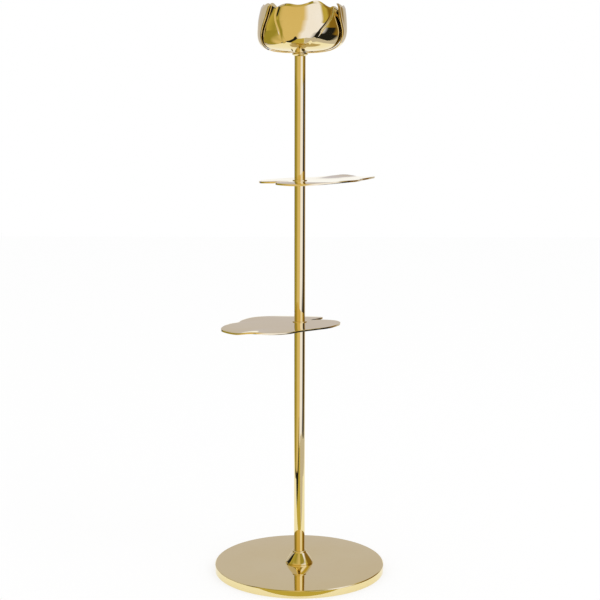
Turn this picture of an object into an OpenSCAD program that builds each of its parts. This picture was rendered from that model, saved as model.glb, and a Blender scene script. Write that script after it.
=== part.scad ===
// Torchere candle stand in polished brass: a flower of four outer and four inner petals round a candle
// socket, on a slim stem that carries two lily-pad leaves, on a turned disc base. One tie rod inside
// the stem draws the whole stack together.
// Millimetres. The origin is the centre of the underside, +Z is up and -Y is the front.

/* [Base] */
// Diameter of the base disc
base_d = 150; // [120:1:200]
// Thickness of the base disc
base_h = 6.7; // [6.5:0.1:12]
// Chamfer round the top edge of the disc
base_chamfer = 0.7; // [0.2:0.1:1.5]
// Thickness of the felt pad
felt_h = 1.2; // [0.9:0.1:1.5]
// How far the felt stands below the disc
felt_proud = 0.3; // [0.1:0.1:0.6]
// Width of the brass rim that is left round the felt
felt_rim_w = 3.5; // [2:0.5:8]
// Diameter of the pocket for the rod's nut, under the disc
nut_pocket_d = 16; // [13:0.5:24]
// Brass left between the nut's pocket and the top of the disc
nut_pocket_web = 2.2; // [1.5:0.1:2.3]

/* [Foot ferrule] */
// Diameter of the ferrule's foot
ferrule_foot_d = 23.4; // [20:0.1:32]
// Height of the upright band at the ferrule's foot
ferrule_band_h = 2.4; // [1:0.1:4]
// Height at which the dome meets the neck
ferrule_dome_h = 9.2; // [6:0.1:12]
// Length of the neck above the dome
ferrule_neck_h = 1.6; // [1:0.1:5]
// Wall of the neck
ferrule_neck_wall = 1.5; // [1:0.05:2.5]

/* [Stem] */
// Outer diameter of the stem tubes
stem_d = 9.5; // [8.5:0.1:12]
// Wall of the stem tubes
stem_wall = 1; // [0.6:0.1:1.4]
// Length of the tube from the base to the lower leaf
lower_tube_len = 215.7; // [120:0.1:320]
// Length of the tube between the leaves
middle_tube_len = 120.5; // [60:0.1:200]
// Length of the tube from the upper leaf to the flower
upper_tube_len = 104.5; // [50:0.1:200]
// Diameter of the tie rod inside the stem
rod_d = 5; // [4:0.5:5.5]
// Length of each bush that centres the rod in a tube's end
bush_len = 6; // [4:0.5:12]

/* [Leaves] */
// Thickness of the leaf sheet
leaf_t = 1.5; // [1:0.1:2.5]
// Longest reach of a leaf from the stem
leaf_reach = 78; // [60:1:84]
// Turn of the upper leaf from the lower one, in degrees
leaf_turn = 180; // [0:5:355]
// How much the upper leaf is bent up to the right, as rise over run
upper_leaf_slope = 0.034; // [0:0.002:0.05]
// Diameter of the thin washer on each leaf
leaf_washer_d = 12.6; // [12:0.1:20]
// Thickness of the thin washer on each leaf
leaf_washer_h = 0.6; // [0.4:0.1:1.5]

/* [Flower] */
// Height of the petal tips above the top of the stem
flower_h = 43.5; // [36:0.5:60]
// Radius of the flower at its belly, to the outside of the outer petals
belly_r = 38; // [32:0.5:48]
// Height of the belly above the top of the stem
belly_h = 20.5; // [16:0.5:26]
// Radius of the flower at its rim, to the outside of the outer petals
rim_r = 33.8; // [30:0.2:46]
// Thickness of the petal sheet
petal_t = 0.8; // [0.5:0.1:0.9]
// Half the width of an outer petal at its shoulders
outer_half_w = 27.5; // [20:0.5:30]
// Half the width of an inner petal at its shoulders
inner_half_w = 22; // [16:0.5:22.5]
// Half the width of the claw by which a petal is clamped
claw_half_w = 4; // [3:0.5:5]
// Depth of the dip between the two lobes of the front petal's top edge
rim_dip = 4.6; // [0:0.1:6]
// Depth by which a petal's edges roll inwards
edge_roll = 1.1; // [0:0.1:1.1]
// Width of the band that rolls inwards
edge_roll_w = 3.5; // [3:0.5:9]
// How far the outer petals stand outside the inner ones
layer_step = 2.2; // [2.1:0.1:5]
// How far the petals are bent over to the right above their claws
flower_shift = 1.9; // [0:0.1:3]

/* [Flower hub and candle socket] */
// How far the hub's bead stands out from the stem
hub_bead_out = 2; // [1:0.1:4]
// Height of the hub's bead
hub_bead_h = 2.4; // [1.5:0.1:5]
// Diameter of the spigot on which the petals centre
hub_spigot_d = 7.6; // [6.5:0.1:8]
// Length of the hub's tenon in the upper tube
hub_tenon_len = 8; // [5:0.5:15]
// Diameter of the plate that clamps the petals
clamp_d = 22; // [14:0.5:25]
// Thickness of the plate that clamps the petals
clamp_h = 1.2; // [0.8:0.1:2.5]
// Bore of the socket, for a candle of 22 mm
socket_bore_d = 22.6; // [20:0.1:26]
// Depth of the socket
socket_depth = 24; // [15:0.5:26]
// Wall of the socket
socket_wall = 1.2; // [0.8:0.1:2]
// Thickness of the socket's floor
socket_floor = 3; // [2.6:0.1:4]
// How far the lip of the socket stands out
socket_lip = 1; // [0.4:0.1:2]
// Diameter of the screw that holds the socket
screw_d = 4; // [3:0.5:4.5]

/* [Hidden] */

$fn = 96;
BRASS = [0.85, 0.66, 0.25];
PALE_BRASS = [0.9, 0.76, 0.42];
STEEL = [0.62, 0.63, 0.65];
FELT = [0.1, 0.1, 0.1];

slip = 0.1;    // radial clearance of pieces that slide over each other
thread = 0.05; // radial clearance of a thread in its nut or tapped hole
over = 1;      // how far a cutting shape runs past the surface that it cuts

// Heights up the stack
base_top = felt_proud + base_h;
lower_leaf_z = base_top + lower_tube_len;
middle_tube_z = lower_leaf_z + leaf_t + leaf_washer_h;
upper_leaf_z = middle_tube_z + middle_tube_len;
upper_tube_z = upper_leaf_z + leaf_t + leaf_washer_h;
stem_top = upper_tube_z + upper_tube_len;
flange_z = stem_top + hub_bead_h;

// Stem and rod
stem_r = stem_d / 2;
tube_bore_r = stem_r - stem_wall;
rod_r = rod_d / 2;
rod_hole_r = rod_r + slip;

// Ferrule
dome_bulge = 1.6; // 1 would make the dome's side a quarter of an ellipse and 2 a straight cone
neck_chamfer = 0.4;

// Nut and washer under the base
pocket_top = base_top - nut_pocket_web;
nut_af = 1.6 * rod_d; // across the flats
nut_h = 0.5 * rod_d;
rod_washer_d = 2.2 * rod_d;
rod_washer_h = 0.8;
rod_bottom = pocket_top - rod_washer_h - nut_h;

// Petals: sheets stack at the hub one petal's thickness and a sliver apart
sheet_gap = 0.3;
root_r = hub_spigot_d / 2 + sheet_gap;
root_pitch = petal_t + sheet_gap;
petal_rows = 20; // steps from the claw to the rim
petal_cols = 6;  // steps from the middle of a petal to its side

// Each kind of petal, outer and then inner: half width, how fast the petal widens above its claw,
// the claw's end and the room that its neighbours leave at the rim, as half an angle in radians
OUTER = [outer_half_w, 2.5, 0.43, 0.76];
INNER = [inner_half_w, 4.5, 0.15, 0.65];
low_room = 0.65; // the room up to the belly, as half an angle in radians
// Places on a petal's profile, which like the claw's end are on its scale of 0 to 2: the start of the
// lean, the stretch on which the edges begin to roll and the stretch on which the flower bends over
lean_from = 0.7;
roll_from = [0.6, 1];
bend_from = [0.4, 1.1];
roll_knee = 0.3; // how softly the edge's roll begins: 0 would be a crease

// Each petal as it is set on the hub: direction, layer (0 outer, 1 inner), its lean to one side in
// degrees, low on the petal and at the rim, how far its rim stands out further than the others, and
// its top edge: the dip's share of the front petal's, the place of the dip from -1 on the left to 1
// on the right, lift, tilt, and how far the left and the right corner fall
FRONT_SET = [-90, 0, [-5, 10], 0, [1, -0.19, 0, 0.4, 3.2, 2.1]];
RIGHT_SET = [0, 0, [-1, 4], 2, [0.4, -0.45, -0.8, 0, 0, 1.5]];
REAR_SET = [90, 0, [0, 0], 0, [0.8, 0, -0.5, -0.6, 1.6, 1.6]];
LEFT_SET = [180.5, 0, [0, 0], 0, [0.5, 0.3, 0, 0, 1.6, 0.8]];
FRONT_RIGHT_SET = [-53, 1, [0, 0], 0, [0.7, 0, -2.5, 0, 1, 1.6]];
REAR_RIGHT_SET = [45, 1, [0, 0], 0, [0.7, 0, 0, 0.5, 1.6, 1.6]];
REAR_LEFT_SET = [135, 1, [0, 0], 0, [0.7, 0, 0.5, 0, 1.6, 1.6]];
FRONT_LEFT_SET = [-137, 1, [0, 0], 0, [1, 0.34, -0.2, 0, 1.6, 4.5]];

// Clamp, socket and screw above the petals
clamp_dish = 0.3; // hollow under the clamp's edge, where the petals begin to rise
clamp_z = flange_z + root_pitch + petal_t;
socket_z = clamp_z + clamp_h;
spigot_top = socket_z - 0.2;
rod_top = stem_top + 0.6;
rod_to_screw = 1; // room between the rod and the screw, which share the hub's bore
screw_tip_z = rod_top + rod_to_screw;
screw_head_d = 2 * screw_d;
screw_head_h = 0.5 * screw_d;
screw_hole_r = screw_d / 2 + thread;
socket_chamfer = 0.8; // chamfer under the socket's outer edge
screw_sink = 0.1; // how far the screw's head lies below the socket's floor
screw_head_z = socket_z + socket_floor - screw_sink - screw_head_h;

// Leaf rim, going round the stem: [angle, share of the reach, lift of the edge in mm]
LEAF_RIM = [
  [-10, 0.46, 0], [8, 0.43, 0], [19, 0.37, 0], [28, 0.3, 0],
  [43, 0.17, 0], [46.5, 0.28, 0], [49, 0.4, 0], [60, 0.45, -0.4],
  [80, 0.475, -1], [102, 0.495, -1], [126, 0.53, -0.3], [149, 0.6, 0.2],
  [168, 0.65, 0], [184, 0.69, 0], [193, 0.79, 0.3], [203, 0.91, 0.2],
  [213, 1, -0.4], [226, 0.99, -0.6], [237, 0.95, 0.6], [248, 0.85, 0],
  [259, 0.73, -0.4], [272, 0.6, 0.1], [289, 0.52, 0.2], [309, 0.49, 0.2], [330, 0.47, 0.2]
];
LEAF_SHARES = [0.2, 0.4, 0.6, 0.76, 0.9, 1]; // rings of the leaf, as shares of its reach
rim_steps = 3; // steps from one rim point to the next

// ---------------------------------------------------------------- curves and sheets

// Point at t on the curve from b to c that also heeds a and d
function through(a, b, c, d, t) =
  0.5 * (2 * b + (c - a) * t + (2 * a - 5 * b + 4 * c - d) * t ^ 2 + (3 * b - a - 3 * c + d) * t ^ 3);

// Point and direction at t on a cubic Bezier curve
function bezier(p, t) =
  (1 - t) ^ 3 * p[0] + 3 * (1 - t) ^ 2 * t * p[1] + 3 * (1 - t) * t ^ 2 * p[2] + t ^ 3 * p[3];
function bezier_slope(p, t) =
  (1 - t) ^ 2 * (p[1] - p[0]) + 2 * (1 - t) * t * (p[2] - p[1]) + t ^ 2 * (p[3] - p[2]);

function clamp01(x) = min(1, max(0, x));

// Two triangles for each step of a grid, where at(i, j) numbers its points
function grid_faces(rows, cols, at) = [
  for (i = [0:rows - 1]) for (j = [0:cols - 1])
    each [[at(i, j), at(i + 1, j + 1), at(i, j + 1)], [at(i, j), at(i + 1, j), at(i + 1, j + 1)]]
];

// A closed sheet between two grids of points. A looped sheet joins its last column to its first.
module sheet(front, back, looped) {
  rows = len(front);
  cols = len(front[0]);
  count = rows * cols;
  steps = looped ? cols : cols - 1;
  front_at = function(i, j) i * cols + (j % cols);
  back_at = function(i, j) count + i * cols + (j % cols);
  first_row = function(i, j) i == 0 ? back_at(0, j) : front_at(0, j);
  last_row = function(i, j) i == 0 ? front_at(rows - 1, j) : back_at(rows - 1, j);
  first_col = function(i, j) j == 0 ? back_at(i, 0) : front_at(i, 0);
  last_col = function(i, j) j == 0 ? front_at(i, cols - 1) : back_at(i, cols - 1);
  turned = function(faces) [for (f = faces) [f[2], f[1], f[0]]];
  polyhedron(
    points = [for (row = front) each row, for (row = back) each row],
    faces = [
      each grid_faces(rows - 1, steps, front_at),
      each turned(grid_faces(rows - 1, steps, back_at)),
      each grid_faces(1, steps, first_row),
      each grid_faces(1, steps, last_row),
      if (!looped) each grid_faces(rows - 1, 1, first_col),
      if (!looped) each grid_faces(rows - 1, 1, last_col)
    ],
    convexity = 6
  );
}

// ---------------------------------------------------------------- base

module base_disc() {
  recess_r = base_d / 2 - felt_rim_w;
  recess_top = felt_h;
  color(BRASS)
    rotate_extrude($fn = 180)
      polygon([
        [rod_hole_r, pocket_top],
        [nut_pocket_d / 2, pocket_top],
        [nut_pocket_d / 2, recess_top],
        [recess_r, recess_top],
        [recess_r, felt_proud],
        [base_d / 2, felt_proud],
        [base_d / 2, base_top - base_chamfer],
        [base_d / 2 - base_chamfer, base_top],
        [rod_hole_r, base_top]
      ]);
}

module base_felt() {
  color(FELT) cylinder(r = base_d / 2 - felt_rim_w - sheet_gap, h = felt_h, $fn = 180);
}

module foot_ferrule() {
  bore_r = stem_r + slip;
  neck_r = stem_r + ferrule_neck_wall;
  foot_r = ferrule_foot_d / 2;
  neck_top = ferrule_dome_h + ferrule_neck_h;
  dome = [for (a = [0:10:90])
    [
      neck_r + (foot_r - neck_r) * cos(a) ^ dome_bulge,
      ferrule_band_h + (ferrule_dome_h - ferrule_band_h) * sin(a) ^ dome_bulge
    ]];
  color(PALE_BRASS)
    translate([0, 0, base_top])
      rotate_extrude()
        polygon([
          [bore_r, 0],
          [foot_r, 0],
          each dome,
          [neck_r, neck_top - neck_chamfer],
          [neck_r - neck_chamfer, neck_top],
          [bore_r, neck_top]
        ]);
}

// ---------------------------------------------------------------- stem

// A tube along Z that starts at height z
module ring(outer_r, inner_r, h, z) {
  translate([0, 0, z])
    difference() {
      cylinder(r = outer_r, h = h);
      translate([0, 0, -over]) cylinder(r = inner_r, h = h + 2 * over);
    }
}

module stem_tube(z, len) {
  color(BRASS) ring(stem_r, tube_bore_r, len, z);
}

module lower_tube() {
  stem_tube(base_top, lower_tube_len);
}

module middle_tube() {
  stem_tube(middle_tube_z, middle_tube_len);
}

module upper_tube() {
  stem_tube(upper_tube_z, upper_tube_len);
}

// One bush in each tube end, except the top one, where the hub's tenon does its work
module tube_bushes() {
  starts = [
    base_top,
    lower_leaf_z - bush_len,
    middle_tube_z,
    upper_leaf_z - bush_len,
    upper_tube_z
  ];
  color(BRASS)
    for (z = starts) ring(tube_bore_r - thread, rod_hole_r, bush_len, z);
}

module tie_rod() {
  color(STEEL) translate([0, 0, rod_bottom]) cylinder(r = rod_r, h = rod_top - rod_bottom);
}

module rod_washer() {
  color(STEEL) ring(rod_washer_d / 2, rod_hole_r, rod_washer_h, pocket_top - rod_washer_h);
}

module rod_nut() {
  color(STEEL)
    translate([0, 0, rod_bottom])
      difference() {
        cylinder(d = nut_af / cos(30), h = nut_h, $fn = 6);
        translate([0, 0, -over]) cylinder(r = rod_r + thread, h = nut_h + 2 * over);
      }
}

// ---------------------------------------------------------------- leaves

// Points round the rim of a leaf: x, y and lift
function leaf_edge() =
  let (
    p = [for (r = LEAF_RIM) [leaf_reach * r[1] * cos(r[0]), leaf_reach * r[1] * sin(r[0]), r[2]]],
    n = len(p)
  )
  [for (i = [0:n - 1]) for (k = [0:rim_steps - 1])
    through(p[(i + n - 1) % n], p[i], p[(i + 1) % n], p[(i + 2) % n], k / rim_steps)];

// The sheet lies flat round the stem, waves more and more towards its rim and is bent up to the right
// by its slope
module leaf(z, turn, slope) {
  edge = leaf_edge();
  hole = [for (p = edge) let (a = atan2(p[1], p[0])) [rod_hole_r * cos(a), rod_hole_r * sin(a), 0]];
  flat = LEAF_SHARES[0];
  rings = [hole, for (s = LEAF_SHARES)
    [for (p = edge)
      let (
        free = (s - flat) / (1 - flat),
        right = cos(atan2(p[1], p[0]) + turn),
        past_washer = max(0, norm([p[0], p[1]]) * s - leaf_washer_d)
      ) [p[0] * s, p[1] * s, p[2] * free ^ 2 + slope * right * past_washer * free]]];
  top = [for (ring = rings) [for (p = ring) p + [0, 0, leaf_t]]];
  color(PALE_BRASS)
    translate([0, 0, z]) rotate([0, 0, turn]) sheet(rings, top, true);
}

module lower_leaf() {
  leaf(lower_leaf_z, 0, 0);
}

module upper_leaf() {
  leaf(upper_leaf_z, leaf_turn, upper_leaf_slope);
}

module leaf_washer(leaf_z) {
  color(BRASS) ring(leaf_washer_d / 2, rod_hole_r, leaf_washer_h, leaf_z + leaf_t);
}

module lower_leaf_washer() {
  leaf_washer(lower_leaf_z);
}

module upper_leaf_washer() {
  leaf_washer(upper_leaf_z);
}

// ---------------------------------------------------------------- flower

module flower_hub() {
  bead_r = stem_r + hub_bead_out;
  color(BRASS)
    difference() {
      rotate_extrude()
        polygon([
          [0, stem_top - hub_tenon_len],
          [tube_bore_r - thread, stem_top - hub_tenon_len],
          [tube_bore_r - thread, stem_top],
          [stem_r, stem_top],
          [bead_r, stem_top + 0.6 * hub_bead_h],
          [bead_r, stem_top + 0.85 * hub_bead_h],
          [bead_r - 0.15 * hub_bead_h, flange_z],
          [hub_spigot_d / 2, flange_z],
          [hub_spigot_d / 2, spigot_top],
          [0, spigot_top]
        ]);
      translate([0, 0, stem_top - hub_tenon_len - over])
        cylinder(r = rod_r + thread, h = rod_top - stem_top + hub_tenon_len + over);
      translate([0, 0, screw_tip_z]) cylinder(r = screw_hole_r, h = spigot_top - screw_tip_z + over);
    }
}

// Outer profile of a petal in its layer, [radius, height]: q runs 0 to 1 along the underside
// to the belly and 1 to 2 up the wall to the rim
function petal_profile(layer, stand_out) =
  let (
    root_z = flange_z + layer * root_pitch,
    belly = [belly_r - layer * layer_step, stem_top + belly_h],
    rim = [rim_r - layer * layer_step + stand_out, stem_top + flower_h],
    under = [
      [root_r, root_z], [(0.684 + 0.03 * layer) * belly[0], root_z],
      [belly[0], root_z + 0.15 * belly_h], belly
    ],
    rise = rim[1] - belly[1],
    wall = [belly, belly + [0, 0.38 * rise], [0.6 * belly[0] + 0.4 * rim[0], rim[1] - 0.36 * rise], rim]
  ) [under, wall];

// How far x has gone from one end of a stretch to the other, held within 0 and 1
function along(x, stretch) = clamp01((x - stretch[0]) / (stretch[1] - stretch[0]));

// Half the width of a petal of this kind at q, where its profile has radius r
function petal_half_width(kind, q, r) =
  min(
    (low_room + (kind[3] - low_room) * along(q, [1, 2])) * r,
    claw_half_w + (kind[0] - claw_half_w) * (1 - (1 - along(q, [kind[2], 2])) ^ kind[1])
  );

// How far the top edge lies below the tips at u, which runs from -1 on the left to 1 on the right
function rim_drop(edge, u) =
  let (from_dip = u - edge[1])
  edge[0] * rim_dip / 2 * (1 + cos(360 * from_dip)) - edge[2] - edge[3] * sin(180 * from_dip)
  + (u < 0 ? edge[4] : edge[5]) * abs(u) ^ 3;

// Depth of the roll, from 0 where it begins to 1 at the edge
function roll_depth(x) =
  (norm([x, roll_knee]) - roll_knee) / (norm([1, roll_knee]) - roll_knee);

// Point of the petal at q and u, this deep in the sheet
function petal_point(set, profile, q, top, u, depth) =
  let (
    kind = set[1] == 0 ? OUTER : INNER,
    curve = q < 1 ? profile[0] : profile[1],
    t = q < 1 ? q : q - 1,
    at = bezier(curve, t),
    slope = bezier_slope(curve, t),
    out = [slope[1], -slope[0]] / norm(slope),
    half_w = petal_half_width(kind, q, at[0]),
    wall_len = norm(profile[1][3] - profile[1][0]),
    side = along(q, roll_from) * clamp01(1 - half_w * (1 - abs(u)) / edge_roll_w),
    upper = clamp01(1 - (top - q) * wall_len / edge_roll_w),
    p = at - (depth + edge_roll * roll_depth(min(1, norm([side, upper])))) * out,
    lean = set[2][0] + (set[2][1] - set[2][0]) * along(q, [lean_from, 2]),
    a = set[0] + lean + u * half_w / at[0] * 180 / PI,
    bent = along(q, bend_from)
  ) [p[0] * cos(a) + flower_shift * bent ^ 2 * (3 - 2 * bent), p[0] * sin(a), p[1]];

module petal(set) {
  profile = petal_profile(set[1], set[3]);
  wall_len = norm(profile[1][3] - profile[1][0]);
  faces = [for (depth = [0, petal_t])
    [for (i = [0:petal_rows]) [for (j = [-petal_cols:petal_cols])
      let (
        u = sin(90 * j / petal_cols),
        top = 2 - rim_drop(set[4], u) / wall_len,
        q = top * sin(90 * i / petal_rows)
      ) petal_point(set, profile, q, top, u, depth)]]];
  color(PALE_BRASS) sheet(faces[0], faces[1], false);
}

module petal_front() {
  petal(FRONT_SET);
}

module petal_right() {
  petal(RIGHT_SET);
}

module petal_rear() {
  petal(REAR_SET);
}

module petal_left() {
  petal(LEFT_SET);
}

module inner_petal_front_right() {
  petal(FRONT_RIGHT_SET);
}

module inner_petal_rear_right() {
  petal(REAR_RIGHT_SET);
}

module inner_petal_rear_left() {
  petal(REAR_LEFT_SET);
}

module inner_petal_front_left() {
  petal(FRONT_LEFT_SET);
}

module petal_clamp() {
  bore_r = hub_spigot_d / 2 + slip;
  color(BRASS)
    translate([0, 0, clamp_z])
      rotate_extrude()
        polygon([
          [bore_r, 0],
          [clamp_d / 2, clamp_dish],
          [clamp_d / 2, clamp_h],
          [bore_r, clamp_h]
        ]);
}

module candle_socket() {
  bore_r = socket_bore_d / 2;
  wall_r = bore_r + socket_wall;
  floor_z = socket_z + socket_floor;
  top_z = floor_z + socket_depth;
  color(BRASS)
    rotate_extrude()
      polygon([
        [screw_d / 2 + slip, socket_z],
        [wall_r - socket_chamfer, socket_z],
        [wall_r, socket_z + socket_chamfer],
        [wall_r, top_z - 2 * socket_lip],
        [wall_r + socket_lip, top_z - socket_lip],
        [wall_r + socket_lip, top_z],
        [bore_r, top_z],
        [bore_r, floor_z],
        [screw_head_d / 2 + slip, floor_z],
        [screw_head_d / 2 + slip, screw_head_z],
        [screw_d / 2 + slip, screw_head_z]
      ]);
}

module socket_screw() {
  tip_z = screw_tip_z + slip;
  color(STEEL)
    union() {
      translate([0, 0, tip_z]) cylinder(r = screw_d / 2, h = screw_head_z - tip_z + screw_head_h / 2);
      translate([0, 0, screw_head_z]) cylinder(d = screw_head_d, h = screw_head_h);
    }
}

base_disc();
base_felt();
rod_nut();
rod_washer();
tie_rod();
foot_ferrule();
lower_tube();
middle_tube();
upper_tube();
tube_bushes();
lower_leaf();
lower_leaf_washer();
upper_leaf();
upper_leaf_washer();
flower_hub();
petal_front();
petal_right();
petal_rear();
petal_left();
inner_petal_front_right();
inner_petal_rear_right();
inner_petal_rear_left();
inner_petal_front_left();
petal_clamp();
candle_socket();
socket_screw();
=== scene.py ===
# %% [markdown]
# # A polished brass candle stand, dressed for its portrait
#
# The stand is a flower of sheet-brass petals round a candle socket, on a slim tube that carries two
# lily-pad leaves and stands on a turned disc. The frame that loads below is the engineering model: it
# gives every piece its place and size. This lesson gives each piece a finer surface and a finish.
# Polished brass has almost no colour of its own that a lamp could light. It shows the room. So half of
# the lesson is about metal, and the other half is about what the metal sees.

import math

import bmesh
import bpy
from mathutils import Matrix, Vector


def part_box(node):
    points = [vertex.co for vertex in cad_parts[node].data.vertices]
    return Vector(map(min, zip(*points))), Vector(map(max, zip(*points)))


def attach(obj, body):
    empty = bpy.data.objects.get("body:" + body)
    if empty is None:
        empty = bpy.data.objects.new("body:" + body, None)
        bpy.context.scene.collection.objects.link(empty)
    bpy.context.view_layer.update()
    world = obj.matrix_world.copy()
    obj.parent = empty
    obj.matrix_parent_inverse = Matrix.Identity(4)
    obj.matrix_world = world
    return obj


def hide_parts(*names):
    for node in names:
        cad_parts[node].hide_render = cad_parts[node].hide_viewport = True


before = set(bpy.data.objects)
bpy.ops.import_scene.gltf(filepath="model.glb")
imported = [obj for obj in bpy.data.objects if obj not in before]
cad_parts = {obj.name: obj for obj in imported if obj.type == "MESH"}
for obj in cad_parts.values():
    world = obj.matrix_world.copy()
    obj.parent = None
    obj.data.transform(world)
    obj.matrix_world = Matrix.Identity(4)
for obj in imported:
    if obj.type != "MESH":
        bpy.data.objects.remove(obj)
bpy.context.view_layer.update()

# %% [markdown]
# ## Heights come from the frame
#
# A maker measures the blank before turning it. Here the boxes of the frame's own nodes are measured for
# heights, so that the refined pieces cannot drift away from the pieces they stand for. Radii, and a few
# sizes that a box does not show, such as a wall or a chamfer, are written once below in millimetres.

# %% Measure the frame
MM = 0.001


def low_z(node):
    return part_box(node)[0].z


def top_z(node):
    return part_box(node)[1].z


base_top = top_z("base_disc")
stem_r = 4.75 * MM
base_r = 75 * MM
stem_top = top_z("upper_tube")
print("base top", round(base_top, 5), "stem top", round(stem_top, 5), "stem radius", stem_r)

# %% [markdown]
# ## The camera
#
# The photograph was taken with a long lens from about 1.2 m, a little below the flower and well above
# the base. The camera looks down by some 8 degrees, so the disc opens into an ellipse while the leaves
# stay thin. The tilt could be replaced by a lens shift, but tilting is what was done here: the stem is
# drawn slightly wider at the top than at the bottom.

# %% Place the camera
CAMERA_DISTANCE = 1.1758
CAMERA_HEIGHT = 0.4152
CAMERA_TILT_DOWN = math.radians(8.326)
CAMERA_ROLL = math.radians(-0.09)
LENS_MM = 82.0

camera_data = bpy.data.cameras.new("camera")
camera_data.lens = LENS_MM
camera_data.sensor_width = 36.0
camera_data.dof.use_dof = False
camera_data.clip_start = 0.02
camera_data.clip_end = 50
camera = bpy.data.objects.new("camera", camera_data)
camera.rotation_mode = "XYZ"
camera.rotation_euler = (math.pi / 2 - CAMERA_TILT_DOWN, CAMERA_ROLL, 0)
camera.location = (0, -CAMERA_DISTANCE, CAMERA_HEIGHT)
bpy.context.scene.collection.objects.link(camera)
bpy.context.scene.camera = camera
bpy.context.scene.view_settings.view_transform = "Standard"
print("camera at", tuple(camera.location), "lens", LENS_MM)

# %% [markdown]
# ## Small helpers for nodes
#
# A material is a little circuit. Typing every wire by hand hides the idea, so a few short helpers add a
# node, join two sockets, fill in a colour ramp, do a sum, blend two colours and start a new material.


# %% Node helpers
def add_node(tree, kind, inputs=None, **settings):
    node = tree.nodes.new(kind)
    for name, value in settings.items():
        setattr(node, name, value)
    for name, value in (inputs or {}).items():
        node.inputs[name].default_value = value
    return node


def wire(tree, start, end):
    tree.links.new(start, end)


def fill_ramp(ramp, stops, interpolation="LINEAR"):
    """stops: (position, colour) pairs in rising order"""
    ramp.interpolation = interpolation
    while len(ramp.elements) < len(stops):
        ramp.elements.new(0.5)
    for element, (position, colour) in zip(ramp.elements, stops):
        element.position = position
        element.color = (*colour, 1)


def math_node(tree, operation, *values, clamp=False):
    """values: sockets or numbers, in the order of the node's inputs"""
    node = tree.nodes.new("ShaderNodeMath")
    node.operation = operation
    node.use_clamp = clamp
    for socket, value in zip(node.inputs, values):
        if isinstance(value, (int, float)):
            socket.default_value = value
        else:
            wire(tree, value, socket)
    return node.outputs[0]


# where the Mix node keeps its A and B for numbers and for colours
MIX_NUMBERS, MIX_COLOURS, MIX_COLOUR_OUT = (2, 3), (6, 7), 2


def mix_colours(tree, share, first, second):
    node = add_node(tree, "ShaderNodeMix", data_type="RGBA")
    wire(tree, share, node.inputs["Factor"])
    for place, socket in zip(MIX_COLOURS, (first, second)):
        wire(tree, socket, node.inputs[place])
    return node.outputs[MIX_COLOUR_OUT]


def new_material(name):
    material = bpy.data.materials.new(name)
    material.use_nodes = True
    return material, material.node_tree


print("helpers ready, a Mix node's colours are at", MIX_COLOURS)


# %% [markdown]
# ## Two shared effects: hand polish and brass tone
#
# Real mirror brass is never a perfect mirror. The mop leaves a faint haze in patches, hair-fine lines,
# and a slow waviness that bends reflections. The alloy itself is a touch redder in some places. Both
# effects are wanted on tubes, turnings and sheet alike, but in different strengths, so each is a node
# group with named sockets, built once.


# %% Build the group for hand polish
HAZE_SCALE = 38.0
HAZE_POWER, HAIRLINE_POWER = 2.0, 4.0


def new_group(name, inputs, outputs):
    group = bpy.data.node_groups.new(name, "ShaderNodeTree")
    for socket_name, kind, value in inputs:
        socket = group.interface.new_socket(name=socket_name, in_out="INPUT", socket_type=kind)
        if value is not None:
            socket.default_value = value
    for socket_name, kind in outputs:
        group.interface.new_socket(name=socket_name, in_out="OUTPUT", socket_type=kind)
    return group, group.nodes.new("NodeGroupInput"), group.nodes.new("NodeGroupOutput")


def build_hand_polish():
    group, entry, exit_ = new_group(
        "hand polish",
        [
            ("Vector", "NodeSocketVector", None),
            ("Roughness", "NodeSocketFloat", 0.03),
            ("Haze", "NodeSocketFloat", 0.03),
            ("Hairlines", "NodeSocketFloat", 0.03),
            ("Hairline Stretch", "NodeSocketVector", (400.0, 400.0, 4000.0)),
            ("Wave Scale", "NodeSocketFloat", 60.0),
        ],
        [("Roughness", "NodeSocketFloat"), ("Height", "NodeSocketFloat")],
    )
    haze = add_node(group, "ShaderNodeTexNoise", {"Scale": HAZE_SCALE, "Detail": 3.0, "Roughness": 0.55})
    wire(group, entry.outputs["Vector"], haze.inputs["Vector"])
    patches = math_node(group, "POWER", haze.outputs[0], HAZE_POWER)
    stretch = add_node(group, "ShaderNodeVectorMath", operation="MULTIPLY")
    wire(group, entry.outputs["Vector"], stretch.inputs[0])
    wire(group, entry.outputs["Hairline Stretch"], stretch.inputs[1])
    lines = add_node(group, "ShaderNodeTexNoise", {"Scale": 1.0, "Detail": 2.0, "Roughness": 0.6})
    wire(group, stretch.outputs[0], lines.inputs["Vector"])
    thin = math_node(group, "POWER", lines.outputs[0], HAIRLINE_POWER)
    values = entry.outputs
    hazy = math_node(group, "MULTIPLY_ADD", patches, values["Haze"], values["Roughness"])
    scratched = math_node(group, "MULTIPLY_ADD", thin, values["Hairlines"], hazy)
    wire(group, scratched, exit_.inputs["Roughness"])
    wave = add_node(group, "ShaderNodeTexNoise", {"Detail": 1.0, "Roughness": 0.4})
    wire(group, entry.outputs["Vector"], wave.inputs["Vector"])
    wire(group, entry.outputs["Wave Scale"], wave.inputs["Scale"])
    wire(group, wave.outputs[0], exit_.inputs["Height"])
    return group


hand_polish = build_hand_polish()
print("group:", hand_polish.name, [s.name for s in hand_polish.interface.items_tree])


# %% Build the group for the tone of the brass
CLEAN_BRASS = (0.88, 0.75, 0.4)
WARM_BRASS = (0.83, 0.66, 0.3)
PATCH_FROM, PATCH_TO = 0.4, 0.7


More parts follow.
